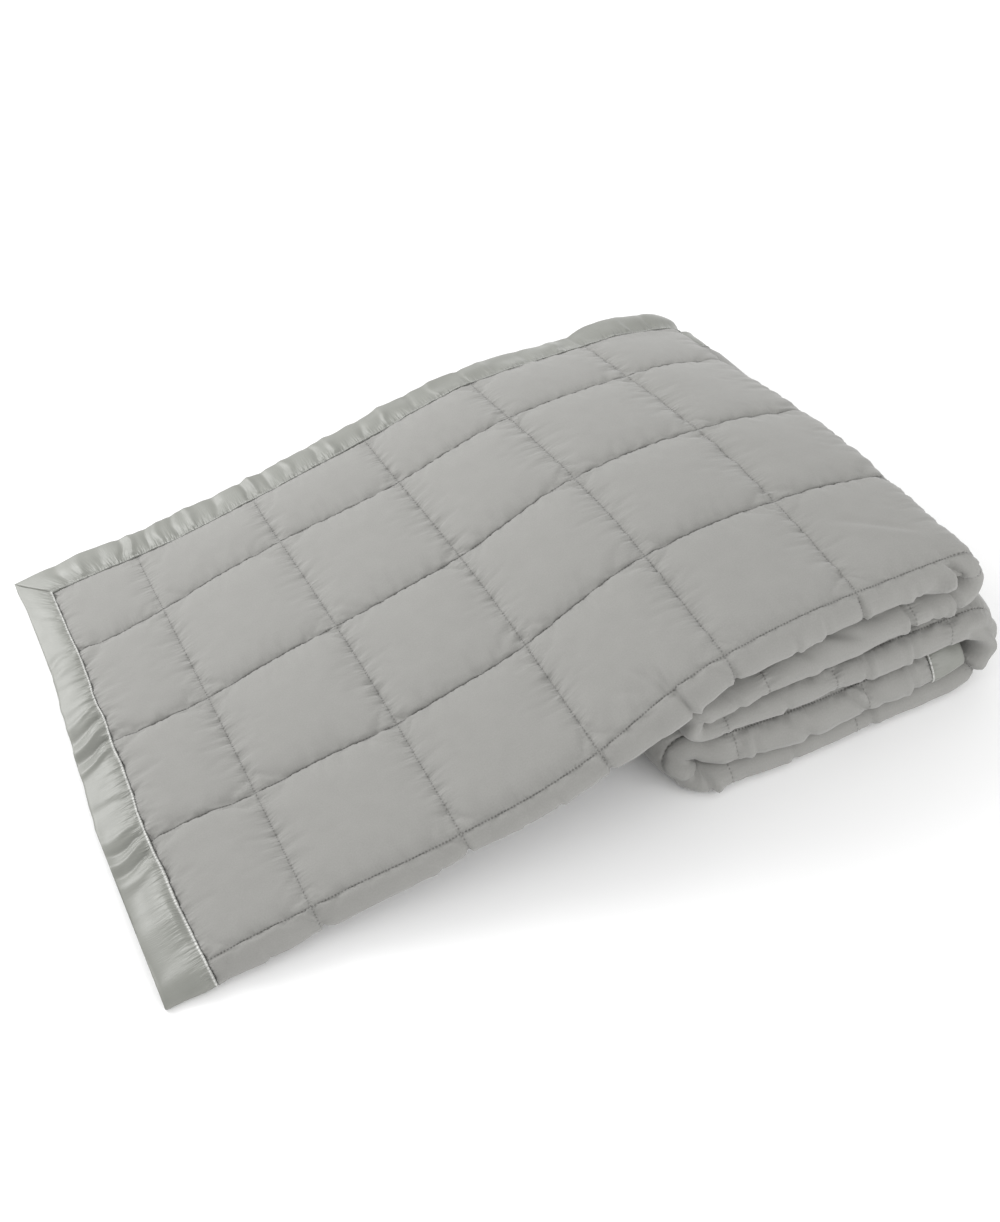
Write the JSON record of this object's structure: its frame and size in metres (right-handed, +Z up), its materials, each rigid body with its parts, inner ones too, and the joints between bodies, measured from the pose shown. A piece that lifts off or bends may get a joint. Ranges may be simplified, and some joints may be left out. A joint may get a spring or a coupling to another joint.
{
  "type": "down alternative blanket",
  "caption": "Box-quilted grey blanket with satin binding, folded into a long strip and then back and forth, its top run laid out over the end of the pile.",
  "frame": {"origin": "on the resting surface, under the middle of the folded blanket", "axes": "+X along the strip from the exposed satin end to the pile, -Y the folded near edge, +Y the far edge with the binding, +Z up"},
  "size_m": [0.8881, 0.6014, 0.1779],
  "materials": {
    "quilted_cloth": "matt plain-woven microfibre, box quilted",
    "satin": "satin weave with a soft sheen"
  },
  "bodies": {
    "root": {"quilted_panel": "quilted_cloth", "satin_side_top": "satin", "satin_side_inner": "satin", "satin_end_exposed": "satin", "satin_end_tucked": "satin"}
  },
  "joints": []
}
